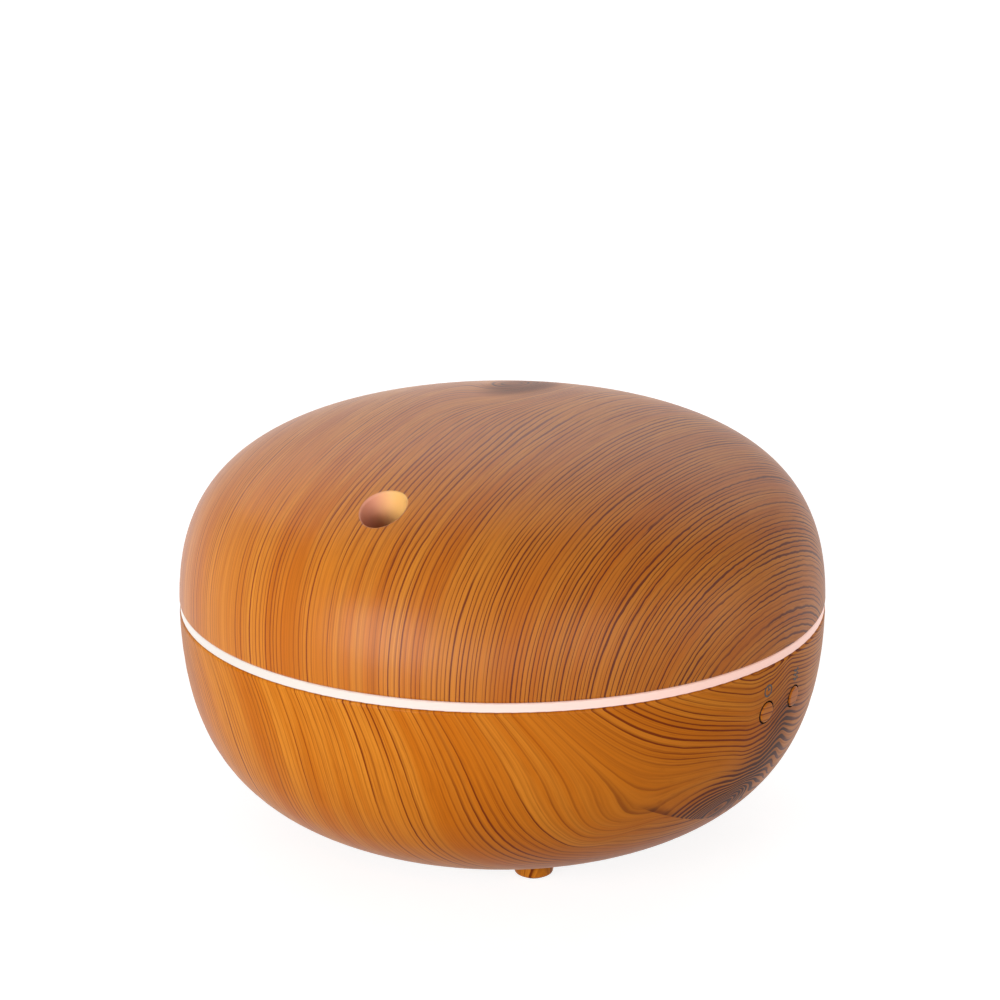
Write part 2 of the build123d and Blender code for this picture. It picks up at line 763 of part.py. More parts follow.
# ---- ring of diodes ----
led_ring_outer = bowl_radius(shell_wall, led_board_z) - seat_clearance


def led_board():
    high = led_board_z + led_board_thickness
    return ring(led_ring_outer, led_ring_outer - led_board_width, led_board_z, high)


def leds():
    middle = ring_skirt_radius - ring_skirt_wall / 2
    one = block((led_size * 0.7, led_size, led_height), (0, 0, led_height / 2))
    base = led_board_z + led_board_thickness
    places = around(led_count, middle, 180 / led_count)
    return Compound([Pos(x, y, base) * turned(one, angle) for x, y, angle in places])


# ---- buttons ----
button_axes = (-button_spacing / 2, button_spacing / 2)
button_boss_axes = (-button_boss_spacing / 2, button_boss_spacing / 2)
button_reach = button_spacing / 2 + button_flange_radius
wall_at_buttons = math.sqrt(bowl_radius(shell_wall, button_z - button_flange_radius) ** 2 - button_reach**2)
flange_face = wall_at_buttons - seat_clearance
flange_back = flange_face - button_flange_thickness
switch_face = flange_back - plunger_length + plunger_overlap
button_board_face = switch_face - switch_depth


def button_cap(y):
    """A round cap that follows the shell's curve, with a flange inside the wall."""
    cap = along_x(button_radius, flange_back, body_radius + 1, y) & bowl(-button_proud)
    cap = fillet(cap.edges().group_by(Axis.X)[-1], button_edge_round)
    return cap + along_x(button_flange_radius, flange_back, flange_face, y)


def plunger(y):
    return along_x(plunger_radius, flange_back - plunger_length, flange_back, y)


def switches():
    body = []
    for y in button_axes:
        middle = button_board_face + switch_depth / 2
        case = block((switch_depth, switch_size, switch_size), (middle, y, button_z))
        well_end = switch_face - plunger_overlap - 2 * button_travel
        body.append(case - along_x(plunger_radius + fit_clearance, well_end, body_radius, y))
    return Compound(body)


def button_board():
    x = button_board_face - button_board_thickness / 2
    board = block((button_board_thickness, button_board_width, button_board_height), (x, 0, button_z))
    for y in button_boss_axes:
        board -= along_x(small_screw_radius + fit_clearance, 0, body_radius, y)
    return board


def button_screws():
    one = Rot(0, -90, 0) * screw(small_screw_radius, small_screw_length, small_head_radius, small_head_height)
    x = button_board_face - button_board_thickness
    return Compound([Pos(x, y, button_z) * one for y in button_boss_axes])


# ---- wires: each stands in its socket and ends against the part that it feeds ----
wire_foot_z = board_top_z + socket_wall
wire_run_z = board_top_z + socket_size[2] + wire_bend + wire_radius
wire_under_z = tank_under_z - wire_radius - wire_gap
clamp_under_z = tank_under_z - seal_thickness - clamp_thickness - small_head_height
climb_radius = bowl_radius(shell_wall, wire_run_z) - wire_wall_gap


def wire(socket, *points):
    """A round sleeve that rises from a socket's floor and runs through points with bent corners."""
    x, y = socket[0], board_front + socket[1]
    start, rise = (x, y, wire_foot_z), (x, y, points[0][2])
    path = FilletPolyline(start, rise, *points, radius=wire_bend)
    return sweep(Plane(origin=path @ 0, z_dir=path % 0) * Circle(wire_radius), path)


def fan_wire():
    """It ends on the fan's frame, just outside the gasket."""
    across = fan_size / 2 - wire_gap - wire_radius
    along = math.sqrt((gasket_radius + wire_gap + wire_radius) ** 2 - across**2)
    x, y = fan_x + along, fan_y + across
    return wire(fan_socket, (x, y, wire_under_z), (x, y, fan_top_z))


def disc_wire():
    """It passes under the clamp and ends on the disc's electrode."""
    low = clamp_under_z - wire_gap - wire_radius
    before = (disc_x, disc_y + clamp_radius, low)
    end = disc_z - electrode_height
    x, y = disc_socket[0], board_front + disc_socket[1]
    over = (x, y - socket_size[1], wire_run_z)
    return wire(disc_socket, over, before, (disc_x, disc_y, low), (disc_x, disc_y, end))


def led_wire():
    """It climbs along the shell and ends under the ring of diodes."""
    x, y = led_socket[0], board_front + led_socket[1]
    away = 1 / math.hypot(x, y)
    radius = led_ring_outer - led_board_width + wire_gap + wire_radius
    climb = (wire_run_z + led_board_z) / 2
    turn = (x * climb_radius * away, y * climb_radius * away, wire_run_z)
    top = (x * radius * away, y * radius * away)
    return wire(led_socket, turn, (*top, climb), (*top, led_board_z))


def button_wire():
    """It passes behind a tank post, climbs along the shell and ends under the button board."""
    post = foot_circle / math.sqrt(2)
    y = (button_axes[1] + switch_size / 2 + button_boss_axes[1] - button_boss_radius) / 2
    x, high = button_board_face - button_board_thickness / 2, button_z - button_board_height / 2
    climb = (wire_run_z + high) / 2
    behind = (post, post + post_radius + wire_post_gap, wire_run_z)
    turn = (math.sqrt(climb_radius**2 - y**2), y, wire_run_z)
    return wire(button_socket, behind, turn, (x, y, climb), (x, y, high))


nodes = {
    "top_cover": top_cover,
    "cover_liner": cover_liner,
    "light_ring": light_ring,
    "lower_shell": lower_shell,
    "foot_pads": foot_pads,
    "case_screws": case_screws,
    "water_tank": water_tank,
    "tank_posts": tank_posts,
    "air_column": air_column,
    "duct_hood": duct_hood,
    "disc_housing": disc_housing,
    "transducer_disc": transducer_disc,
    "transducer_seal": transducer_seal,
    "transducer_clamp": transducer_clamp,
    "transducer_screws": transducer_screws,
    "fan_frame": fan_frame,
    "fan_bearing": fan_bearing,
    "fan_stator": fan_stator,
    "fan_rotor": fan_rotor,
    "fan_magnet": fan_magnet,
    "fan_shaft": fan_shaft,
    "fan_gasket": fan_gasket,
    "fan_screws": fan_screws,
    "main_board": main_board,
    "board_screws": board_screws,
    "dc_jack": dc_jack,
    "jack_pin": jack_pin,
    "heat_sink": heat_sink,
    "drive_transistor": drive_transistor,
    "drive_coil": drive_coil,
    "capacitors": capacitors,
    "control_chip": control_chip,
    "wire_sockets": wire_sockets,
    "fan_wire": fan_wire,
    "disc_wire": disc_wire,
    "led_wire": led_wire,
    "button_wire": button_wire,
    "led_board": led_board,
    "leds": leds,
    "power_button": lambda: button_cap(button_axes[0]),
    "light_button": lambda: button_cap(button_axes[1]),
    "power_plunger": lambda: plunger(button_axes[0]),
    "light_plunger": lambda: plunger(button_axes[1]),
    "switches": switches,
    "button_board": button_board,
    "button_screws": button_screws,
}

os.makedirs("parts", exist_ok=True)
for name, make in nodes.items():
    export_step(make(), f"parts/{name}.step")
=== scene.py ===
import json
import math

import bmesh
import bpy
from mathutils import Matrix, Vector
from mathutils.bvhtree import BVHTree


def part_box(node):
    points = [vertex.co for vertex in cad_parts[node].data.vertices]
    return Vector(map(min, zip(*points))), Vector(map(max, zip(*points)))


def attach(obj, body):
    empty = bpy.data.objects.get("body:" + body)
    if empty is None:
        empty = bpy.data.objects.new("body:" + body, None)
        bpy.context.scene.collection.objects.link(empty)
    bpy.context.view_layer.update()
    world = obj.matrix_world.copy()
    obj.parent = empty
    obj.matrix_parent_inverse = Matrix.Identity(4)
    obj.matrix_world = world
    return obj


# A cool mist humidifier: a pebble of two wood-print shells with a glowing ring in the seam.
# +Z is up, the mist outlet is near -Y and the two buttons are on the +X side.

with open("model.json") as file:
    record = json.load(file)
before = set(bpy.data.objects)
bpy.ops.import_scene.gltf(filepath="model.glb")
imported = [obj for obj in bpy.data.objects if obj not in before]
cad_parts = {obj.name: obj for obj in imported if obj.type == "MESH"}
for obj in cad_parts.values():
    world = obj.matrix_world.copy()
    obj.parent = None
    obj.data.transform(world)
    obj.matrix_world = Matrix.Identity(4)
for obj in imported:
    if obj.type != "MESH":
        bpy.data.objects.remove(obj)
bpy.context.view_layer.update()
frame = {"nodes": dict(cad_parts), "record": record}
nodes = frame["nodes"]
record = frame["record"]
slot_of = {part["node"]: part["material_slot"] for part in record["subparts"]}

MM = 0.001
BUTTON_BORE = 3.0  # radius of the shell's holes for the buttons, in millimetres
OUTLET_BORE = 5.5  # radius of the mist outlet, in millimetres
cover_low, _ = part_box("top_cover")
_, shell_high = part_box("lower_shell")
SEAM = (cover_low.z + shell_high.z) / 2


def opening_centre(name):
    """The middle of one of the record's openings."""
    opening = next(entry for entry in record["physics"]["openings"] if entry["name"] == name)
    low, high = (Vector(corner) for corner in opening["box_m"])
    return (low + high) / 2


# ---- numbers that vary over a surface, built from shader nodes ----
class Field:
    """A socket with arithmetic, so that a pattern can be written as a formula."""

    def __init__(self, tree, socket):
        self.tree = tree
        self.socket = socket

    def math(self, operation, *others):
        """A Math node with this field as its first input."""
        node = self.tree.nodes.new("ShaderNodeMath")
        node.operation = operation
        for place, value in zip(node.inputs, (self, *others)):
            feed(self.tree, place, value)
        return Field(self.tree, node.outputs[0])

    def __add__(self, other):
        return self.math("ADD", other)

    def __sub__(self, other):
        return self.math("SUBTRACT", other)

    def __mul__(self, other):
        return self.math("MULTIPLY", other)

    def __truediv__(self, other):
        return self.math("DIVIDE", other)

    def __pow__(self, other):
        return self.math("POWER", other)

    __radd__ = __add__
    __rmul__ = __mul__

    def root(self):
        return self.math("SQRT")

    def size(self):
        """The value without its sign."""
        return self.math("ABSOLUTE")

    def mod(self, period):
        """What is left after whole periods, from 0 to the period."""
        return self.math("FLOORED_MODULO", period)

    def ramp(self, low, high, start=0.0, end=1.0, smooth=True):
        """start below low, end above high, and a soft or straight change between them."""
        node = self.tree.nodes.new("ShaderNodeMapRange")
        node.interpolation_type = "SMOOTHSTEP" if smooth else "LINEAR"
        for name, value in (("From Min", low), ("From Max", high), ("To Min", start), ("To Max", end)):
            feed(self.tree, node.inputs[name], value)
        feed(self.tree, node.inputs["Value"], self)
        return Field(self.tree, node.outputs["Result"])


def feed(tree, place, value):
    """Gives a socket a constant, or links it to a field."""
    if isinstance(value, Field):
        tree.links.new(value.socket, place)
    else:
        place.default_value = value


def add_node(tree, kind, settings=None, **inputs):
    """A new node with its settings and inputs; an underscore in an input's name stands for a space."""
    node = tree.nodes.new(kind)
    for name, value in (settings or {}).items():
        setattr(node, name, value)
    for name, value in inputs.items():
        feed(tree, node.inputs[name.replace("_", " ")], value)
    return node


def point(tree, x, y, z=0.0):
    """Three numbers as one place."""
    node = add_node(tree, "ShaderNodeCombineXYZ", X=x, Y=y, Z=z)
    return Field(tree, node.outputs[0])


def noise(tree, place, detail=2.0, roughness=0.5):
    """Soft noise from 0 to 1 with features about one unit of place across."""
    node = add_node(tree, "ShaderNodeTexNoise", Vector=place, Scale=1.0, Detail=detail, Roughness=roughness)
    return Field(tree, node.outputs["Fac"])


def chance(tree, number):
    """One random value from 0 to 1 for each number."""
    node = add_node(tree, "ShaderNodeTexWhiteNoise", {"noise_dimensions": "1D"}, W=number)
    return Field(tree, node.outputs["Value"])


def mix(tree, amount, first, second):
    """A colour between two colours."""
    node = add_node(tree, "ShaderNodeMix", {"data_type": "RGBA"})
    feed(tree, node.inputs["Factor"], amount)
    feed(tree, node.inputs[6], first)
    feed(tree, node.inputs[7], second)
    return Field(tree, node.outputs[2])


def parts_of(tree, vector):
    """The x, y and z of a vector socket."""
    split = add_node(tree, "ShaderNodeSeparateXYZ", Vector=Field(tree, vector))
    return [Field(tree, split.outputs[k]) for k in range(3)]


def place_mm(tree):
    """The surface point in millimetres: x, y, and the height above the seam."""
    x, y, z = parts_of(tree, add_node(tree, "ShaderNodeTexCoord").outputs["Object"])
    return x / MM, y / MM, z / MM - SEAM / MM


def surface_direction(tree):
    """The x, y and z of the direction that the surface looks in."""
    return parts_of(tree, add_node(tree, "ShaderNodeNewGeometry").outputs["True Normal"])


def reach(side, depth):
    """How far a point is from the middle, from its two distances."""
    return (side * side + depth * depth).root()


def middle_mm(box):
    """The middle of a box in millimetres, with its height above the seam."""
    low, high = box
    return (low + high) / 2 / MM - Vector((0, 0, SEAM / MM))


def srgb(red, green, blue):
    """A display colour, 0 to 255, as linear values for a shader."""

    def linear(value):
        value /= 255
        return value / 12.92 if value <= 0.04045 else ((value + 0.055) / 1.055) ** 2.4

    return (linear(red), linear(green), linear(blue), 1.0)


def group(name, takes, gives):
    """An empty node group with named sockets: its tree, its inputs as fields, and its output node."""
    tree = bpy.data.node_groups.new(name, "ShaderNodeTree")
    for label, default in takes.items():
        colour = isinstance(default, tuple)
        socket = tree.interface.new_socket(
            label, in_out="INPUT", socket_type="NodeSocketColor" if colour else "NodeSocketFloat"
        )
        socket.default_value = default
    for label in gives:
        kind = "NodeSocketColor" if label == "Colour" else "NodeSocketFloat"
        tree.interface.new_socket(label, in_out="OUTPUT", socket_type=kind)
    source = tree.nodes.new("NodeGroupInput")
    fields = {label: Field(tree, source.outputs[label]) for label in takes}
    return tree, fields, tree.nodes.new("NodeGroupOutput")


def finish_group(tree, output, **results):
    """Links a node group's results to its output node."""
    for label, value in results.items():
        feed(tree, output.inputs[label], value)


def use(tree, effect, **inputs):
    """Puts a node group into a tree and gives its outputs as fields."""
    node = tree.nodes.new("ShaderNodeGroup")
    node.node_tree = effect
    for name, value in inputs.items():
        feed(tree, node.inputs[name], value)
    return {socket.name: Field(tree, socket) for socket in node.outputs}


def new_material(name):
    """A fresh material, its tree and its shader."""
    material = bpy.data.materials.new(name)
    material.use_nodes = True
    return material, material.node_tree, material.node_tree.nodes["Principled BSDF"]


def add_bump(tree, shader, height, strength, distance):
    """Relief that tilts the shader's normal."""
    bump = add_node(tree, "ShaderNodeBump", Strength=strength, Distance=distance, Height=height)
    tree.links.new(bump.outputs["Normal"], shader.inputs["Normal"])


# ---- wood print ----
def make_grain():
    """Growth rings of a softwood: each darkens slowly across the grain, then stops sharply."""
    takes = {"Across": 0.0, "Along": 0.0, "Spacing": 1.8, "Jag": 0.1, "Contrast": 1.0, "Bold": 0.0}
    tree, given, output = group("Grain", takes, ("Rings", "Fibres", "Tone"))
    across, along, spacing = given["Across"], given["Along"], given["Spacing"]

    def grown(crosswise, lengthwise, seed=0.0, detail=1.0, roughness=0.5):
        """Noise drawn out along the grain, from its steps per millimetre both ways."""
        place = point(tree, across * crosswise, along * lengthwise, seed)
        return noise(tree, place, detail, roughness)

    # the rings, whose lines drift, waver and crowd together
    drift = grown(0.05, 0.008)
    waver = grown(0.2, 0.05, seed=7.0, detail=2.0)
    jag = grown(0.4, 0.34, seed=3.0)
    crowd = grown(0.3, 0.012, seed=13.0)
    turn = across / spacing + drift * 1.4 + waver * 0.55 + crowd * 1.5 + jag * given["Jag"]
    part = turn.mod(1.0)
    ring = turn - part
    early = given["Bold"] * -0.25
    rise = part.ramp(early + 0.48, early + 0.86) ** 1.8
    fall = part.ramp(0.91, 1.0, 1.0, 0.0)
    # how dark each one is: some years are bold, lines fade along their length, and clusters stand out
    lasting = noise(tree, point(tree, ring * 3.7, along * 0.03, 11.0), 1.0).ramp(0.3, 0.55, 0.5, 1.0)
    cluster = grown(0.1, 0.03, seed=19.0).ramp(0.36, 0.6, 0.5, 1.45)
    weight = chance(tree, ring)
    strength = weight.ramp(0.0, 0.86, 0.35, 1.0, smooth=False) + weight.ramp(0.84, 0.9, 0.0, 0.6)
    rings = rise * fall * (lasting * strength + given["Bold"] * 0.5)
    rings = rings * given["Contrast"] * (cluster + given["Bold"] * 0.5)
    # fine lines between the rings
    fine_turn = across / (spacing * 0.36) + waver * 2.0 + drift * 5.0 + jag * given["Jag"] * 2.0
    fine_part = fine_turn.mod(1.0)
    fine = fine_part.ramp(0.3, 0.8) * fine_part.ramp(0.86, 1.0, 1.0, 0.0)
    fine_lasting = noise(tree, point(tree, fine_turn * 0.4, along * 0.06), 1.0).ramp(0.35, 0.65)
    fine_weight = chance(tree, fine_turn - fine_part + 0.5) * fine_lasting
    flecks = grown(3.2, 0.4, seed=9.0).ramp(0.6, 0.72)
    rings = rings + fine * fine_weight * 0.4 + flecks * 0.12
    # fibres, and the ground's slow change of tone
    fibres = grown(4.5, 0.12, seed=5.0, detail=3.0, roughness=0.65)
    streaks = grown(0.4, 0.02, seed=17.0, detail=2.0)
    tone = grown(0.06, 0.015, seed=2.0, detail=2.0) * 0.5 + streaks * 0.5
    finish_group(tree, output, Rings=rings, Fibres=fibres, Tone=tone)
    return tree


def make_print():
    """The printed film's colour from its grain: ochre and orange early wood with red-brown rings."""
    takes = {"Rings": 0.0, "Fibres": 0.5, "Tone": 0.5, "Shade": 0.0}
    tree, given, output = group("Wood Print", takes, ("Colour", "Roughness", "Height"))
    ground = mix(tree, given["Tone"].ramp(0.36, 0.64), srgb(222, 139, 42), srgb(202, 111, 16))
    ground = mix(tree, given["Fibres"].ramp(0.36, 0.75, 0.0, 0.4), ground, srgb(158, 80, 12))
    # the darkening input browns the ground and darkens the rings: it holds the print's own darker parts and
    # painted shade
    ground = mix(tree, given["Shade"], ground, srgb(124, 62, 18))
    darker = given["Shade"].ramp(0.0, 0.7, smooth=False)
    ring_colour = mix(tree, darker, srgb(138, 58, 10), srgb(56, 20, 6))
    rings = given["Rings"] * given["Shade"].ramp(0.0, 1.0, 0.9, 1.3)
    colour = mix(tree, rings.ramp(0.0, 1.0, smooth=False), ground, ring_colour)
    roughness = given["Fibres"].ramp(0.2, 0.8, 0.27, 0.36) + given["Shade"] * 0.14
    finish_group(tree, output, Colour=colour, Roughness=roughness, Height=given["Fibres"] * 0.3 - rings * 0.7)
    return tree


GRAIN = make_grain()
PRINT = make_print()


def mound(side, rise, turn, length, width):
    """1 at the middle of a long round hill, falling softly to 0 around it."""
    cosine, sine = math.cos(turn), math.sin(turn)
    lengthwise = (side * cosine + rise * sine) / length
    crosswise = (rise * cosine - side * sine) / width
    return (lengthwise * lengthwise * -1.0 - crosswise * crosswise).math("EXPONENT")


# A grain gives the distance across and along the rings at each point, in millimetres, with their
# spacing, their contrast, how jagged and bold they are, and how far the ground is darkened, by the
# print's own darker parts and by painted shade.
def cover_grain(tree):
    """The cover's rings run from front to back and close up towards the buttons' side."""
    x, y, z = place_mm(tree)
    # the rings stand nearly upright and bend over the dome
    tilt = x * 0.973 + z * 0.232
    across = x + z * 0.076 - tilt * tilt * 0.00493
    # they close up at the buttons' side, and the others drift away from it towards the rear
    across = across + ((across - 52.0) / 8.0).math("EXPONENT") * 56.0 + x.ramp(15.0, 95.0, 0.0, 30.0)
    across = across + y.ramp(-65.0, 35.0, 0.0, 12.0) * x.ramp(-10.0, 75.0, 1.0, 0.0)
    # a knot on top, behind the middle
    knot = mound(x + 13.0, y - 29.0, 1.75, 22.0, 12.0)
    across = across - knot * 22.0
    # painted shade: darker towards the buttons' side, away from the light, and at the far left edge
    painted_shade = x.ramp(-50.0, 80.0, 0.0, 0.5) + x.ramp(-84.0, -50.0, 0.2, 0.0)
    return {
        "Across": across,
        "Along": y,
        "Spacing": 1.4,
        "Shade": painted_shade + knot.ramp(0.35, 0.9, 0.0, 0.8),
        "Jag": x.ramp(40.0, 82.0, 0.15, 0.4),
        "Contrast": (x + y * 0.2).ramp(-70.0, 60.0, 0.6, 1.7),
    }


def shell_grain(tree):
    """The lower shell's rings bend round a knot below the buttons, where a second piece of print ends."""
    x, y, z = place_mm(tree)
    # the rings lie aslant and bend from the left down to the right
    sweep = x * 0.087 - y * 0.47 - z * 0.877
    plain = x * -0.63 - y * 0.38 - z * 1.27 - sweep * sweep * 0.0125
    # the upper print, above a curved edge on the buttons' side
    buttons_side = x.ramp(30.0, 62.0)
    past = y + 13.4
    above_edge = z - (past * past * 0.0051 - past * 0.288 - 42.0)
    upper = above_edge.ramp(y.ramp(-52.0, -30.0, -22.0, -0.1), 0.1) * buttons_side
    on_top = above_edge.ramp(-0.1, 0.1) * buttons_side
    # its rings rise over a knot, sink under it, and step up below the buttons
    hill = mound(y + 18.7, z + 35.6, 1.52, 19.3, 24.9) * 12.4
    dip = mound(y + 12.2, z + 41.3, 1.66, 18.6, 53.9) * 16.7
    flank = mound(y + 14.4, z + 39.5, 0.0, 14.6, 9.9) * 6.7
    core = mound(y + 10.5, z + 37.5, 0.42, 10.0, 4.6) * 5.0
    kink = y.ramp(-6.0, 4.8, 0.0, 4.8) + y.ramp(-14.8, -2.0, 0.0, 3.0)
    # where the knot is darker, jagged or bold
    heart = mound(y + 12.0, z + 38.5, 0.3, 14.0, 7.0).ramp(0.1, 0.9) * on_top
    tip = mound(y + 35.0, z + 33.4, -0.45, 5.0, 1.3) * on_top
    around = mound(y + 15.0, z + 36.0, 0.35, 22.0, 10.0).ramp(0.15, 0.8) * on_top
    beside = mound(y - 3.0, z + 19.0, -0.5, 7.0, 10.0) * buttons_side * 0.4
    bold = around + mound(y - 2.0, z + 20.0, -0.3, 9.0, 13.0) * buttons_side * 0.8
    # painted shade: darker towards the buttons' side, at the far left edge and towards the bottom
    painted_shade = x.ramp(-50.0, 80.0, 0.0, 0.34) + x.ramp(-84.0, -40.0, 0.8, 0.0) + z.ramp(-50.0, -10.0, 0.12, 0.0)
    return {
        "Across": plain + (hill - dip + flank + core + kink) * upper,
        "Along": y * 0.7 + z * 0.7,
        "Spacing": 1.1,
        "Shade": painted_shade + heart * 0.15 + tip * 0.7 + bold * 0.2 + beside * 0.7,
        "Jag": beside * 0.8 + heart * 0.5 + 0.15,
        "Contrast": x.ramp(62.0, 82.0, 0.8, 1.3) + bold * 0.3,
        "Bold": bold,
    }


def button_grain(tree):
    """The buttons' rings lie nearly level."""
    _, y, z = place_mm(tree)
    return {
        "Across": z + y * 0.1,
        "Along": y,
        "Spacing": 1.6,
        "Shade": 0.3,
        "Jag": 0.1,
        "Contrast": 0.6,
    }


# A bare or shaded part gives how far the film gives way at each point to bare plastic or to painted shade,
# and the colour that shows instead.
def outlet_plastic_light_and_shade(tree):
    """Bare plastic down the mist outlet, less of it on the wall towards the buttons, with painted light and
    shade on its wall.
    """
    x, y, z = place_mm(tree)
    outlet = opening_centre("mist_outlet") / MM
    sideways, depthways = x - outlet.x, y - outlet.y
    in_outlet = reach(sideways, depthways).ramp(OUTLET_BORE + 0.2, OUTLET_BORE + 0.6, 1.0, 0.0)
    in_outlet = in_outlet * (sideways - depthways * 0.4).ramp(1.0, 5.0, 1.0, 0.35)
    # the wall goes from pink to amber across the bore and darkens with depth: painted shade on its pink side
    # and deep down, painted light on its amber side, over the plastic's own pale colour
    amber = (sideways * 0.83 + depthways * 0.56).ramp(-4.0, 4.0)
    rim = mix(tree, amber, srgb(220, 152, 128), srgb(234, 182, 108))
    colour = mix(tree, z.ramp(27.0, 36.0), srgb(168, 92, 72), rim)
    return in_outlet, colour


def shell_gap_shade(tree):
    """Painted shade in the narrow gaps round the buttons, in a near-black brown."""
    x, y, z = place_mm(tree)
    painted_gap_shade = None
    for name in ("power_button", "light_button"):
        middle = middle_mm(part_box(name))
        in_bore = reach(y - middle.y, z - middle.z).ramp(BUTTON_BORE + 0.02, BUTTON_BORE + 0.08, 1.0, 0.0)
        in_bore = in_bore * x.ramp(40.0, 50.0)
        painted_gap_shade = in_bore if painted_gap_shade is None else painted_gap_shade.math("MAXIMUM", in_bore)
    return painted_gap_shade, srgb(30, 18, 12)


def button_flank_shade(tree):
    """Painted shade in dark brown on the button's flank in its bore."""
    outwards, _, _ = surface_direction(tree)
    return outwards.ramp(0.25, 0.6, 1.0, 0.0), srgb(44, 26, 16)


def wood(name, pattern, bare_or_shaded_parts, gloss=0.1):
    """A printed wood film laid along a grain, with bare plastic where the film ends, or painted light and
    shade in its place.
    """
    material, tree, shader = new_material(name)
    lie = pattern(tree)
    # this darkening holds the print's own darker parts and painted shade
    shade = lie.pop("Shade")
    film = use(tree, PRINT, Shade=shade, **use(tree, GRAIN, **lie))
    # where the film gives way to bare plastic or to painted shade, and the colour there
    bare, plastic = bare_or_shaded_parts(tree)
    feed(tree, shader.inputs["Base Color"], mix(tree, bare, film["Colour"], plastic))
    feed(tree, shader.inputs["Roughness"], film["Roughness"])
    shader.inputs["Specular IOR Level"].default_value = gloss
    add_bump(tree, shader, film["Height"], 0.06, 0.0002)
    return material


# ---- plastics, metals and boards ----
def make_mottle():
    """Slight unevenness of a moulded or rolled surface."""
    takes = {
        "Base": (0.8, 0.8, 0.8, 1.0),
        "Other": (0.7, 0.7, 0.7, 1.0),
        "Grain": 1.0,
        "Low": 0.4,
        "High": 0.5,
    }
    tree, given, output = group("Mottle", takes, ("Colour", "Roughness", "Height"))
    x, y, z = place_mm(tree)
    grain = given["Grain"]
    broad = noise(tree, point(tree, x * 0.12, y * 0.12, z * 0.12), 3.0)
    fine = noise(tree, point(tree, x * grain, y * grain, z * grain), 3.0, 0.6)
    colour = mix(tree, (broad * 0.6 + fine * 0.4).ramp(0.3, 0.7), given["Base"], given["Other"])
    roughness = given["Low"] + (given["High"] - given["Low"]) * fine
    finish_group(tree, output, Colour=colour, Roughness=roughness, Height=fine)
    return tree


MOTTLE = make_mottle()


def mottled(name, base, other, grain, rough, bump=0.05, metallic=0.0):
    """A material between two colours, with so many grains per millimetre and a range of roughness."""
    material, tree, shader = new_material(name)
    surface = use(tree, MOTTLE, Base=base, Other=other, Grain=grain, Low=rough[0], High=rough[1])
    feed(tree, shader.inputs["Base Color"], surface["Colour"])
    feed(tree, shader.inputs["Roughness"], surface["Roughness"])
    shader.inputs["Metallic"].default_value = metallic
    add_bump(tree, shader, surface["Height"], bump, 0.0002)
    return material


def make_traces():
    """Copper runs in two directions and tinned pads, as masks over a board's own plane in millimetres."""
    lane_width, run_length, pad_pitch = 1.1, 9.0, 2.54
    tree, given, output = group("Board Traces", {"Side": 0.0, "Rise": 0.0}, ("Runs", "Pads"))
    side, rise = given["Side"], given["Rise"]

    def runs(crosswise, lengthwise, seed):
        lane = crosswise / lane_width
        part = lane.mod(1.0)
        lane_number = lane - part + seed
        stretch = (lengthwise + chance(tree, lane_number) * run_length) / run_length
        stretch_number = stretch - stretch.mod(1.0)
        laid = chance(tree, lane_number * 7.31 + stretch_number * 13.7).ramp(0.55, 0.56)
        return (part - 0.5).size().ramp(0.16, 0.22, 1.0, 0.0) * laid

    both = runs(side, rise, 0.0).math("MAXIMUM", runs(rise, side, 41.0))
    column, row = side / pad_pitch, rise / pad_pitch
    column_part, row_part = column.mod(1.0), row.mod(1.0)
    chosen = chance(tree, (column - column_part) * 5.3 + (row - row_part) * 17.9).ramp(0.8, 0.81)
    pads = reach(column_part - 0.5, row_part - 0.5).ramp(0.2, 0.24, 1.0, 0.0) * chosen
    finish_group(tree, output, Runs=both, Pads=pads)
    return tree


TRACES = make_traces()


def board(name, mask, run, upright=False):
    """A circuit board: lacquer, the runs that show through it, and bright pads."""
    material, tree, shader = new_material(name)
    x, y, z = place_mm(tree)
    darker = tuple(0.85 * part for part in mask[:3]) + (1.0,)
    surface = use(tree, MOTTLE, Base=mask, Other=darker, Grain=0.9, Low=0.26, High=0.4)
    traces = use(tree, TRACES, Side=y if upright else x, Rise=z if upright else y)
    colour = mix(tree, traces["Runs"], surface["Colour"], run)
    feed(tree, shader.inputs["Base Color"], mix(tree, traces["Pads"], colour, srgb(206, 204, 196)))
    feed(tree, shader.inputs["Roughness"], surface["Roughness"])
    add_bump(tree, shader, traces["Runs"] + traces["Pads"], 0.3, 0.00005)
    return material


def choke_winding():
    """Lacquered copper turns between two ferrite flanges."""
    # ferrite lies outside this radius, and this far above and below the middle
    ferrite_radius, ferrite_height, wire_pitch = 4.0, 2.7, 0.5
    enamel = {"Base": srgb(206, 120, 62), "Other": srgb(178, 94, 46)}
    material, tree, shader = new_material("coil_copper")
    middle = middle_mm(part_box("drive_coil"))
    x, y, z = place_mm(tree)
    flange = reach(x - middle.x, y - middle.y).ramp(ferrite_radius, ferrite_radius + 0.1)
    end = (z - middle.z).size().ramp(ferrite_height, ferrite_height + 0.1)
    ferrite = flange.math("MAXIMUM", end)
    turn = (z / wire_pitch).mod(1.0)
    wire = turn.ramp(0.0, 0.3) * turn.ramp(0.7, 1.0, 1.0, 0.0)
    surface = use(tree, MOTTLE, **enamel, Grain=3.0, Low=0.25, High=0.4)
    # painted shade: the dark brown in the grooves between the turns
    copper = mix(tree, wire, srgb(84, 38, 18), surface["Colour"])
    feed(tree, shader.inputs["Base Color"], mix(tree, ferrite, copper, srgb(50, 48, 50)))
    feed(tree, shader.inputs["Roughness"], surface["Roughness"] + ferrite * 0.35)
    feed(tree, shader.inputs["Metallic"], ferrite.ramp(0.0, 1.0, 0.8, 0.0))
    add_bump(tree, shader, wire, 0.5, 0.0001)
    return material


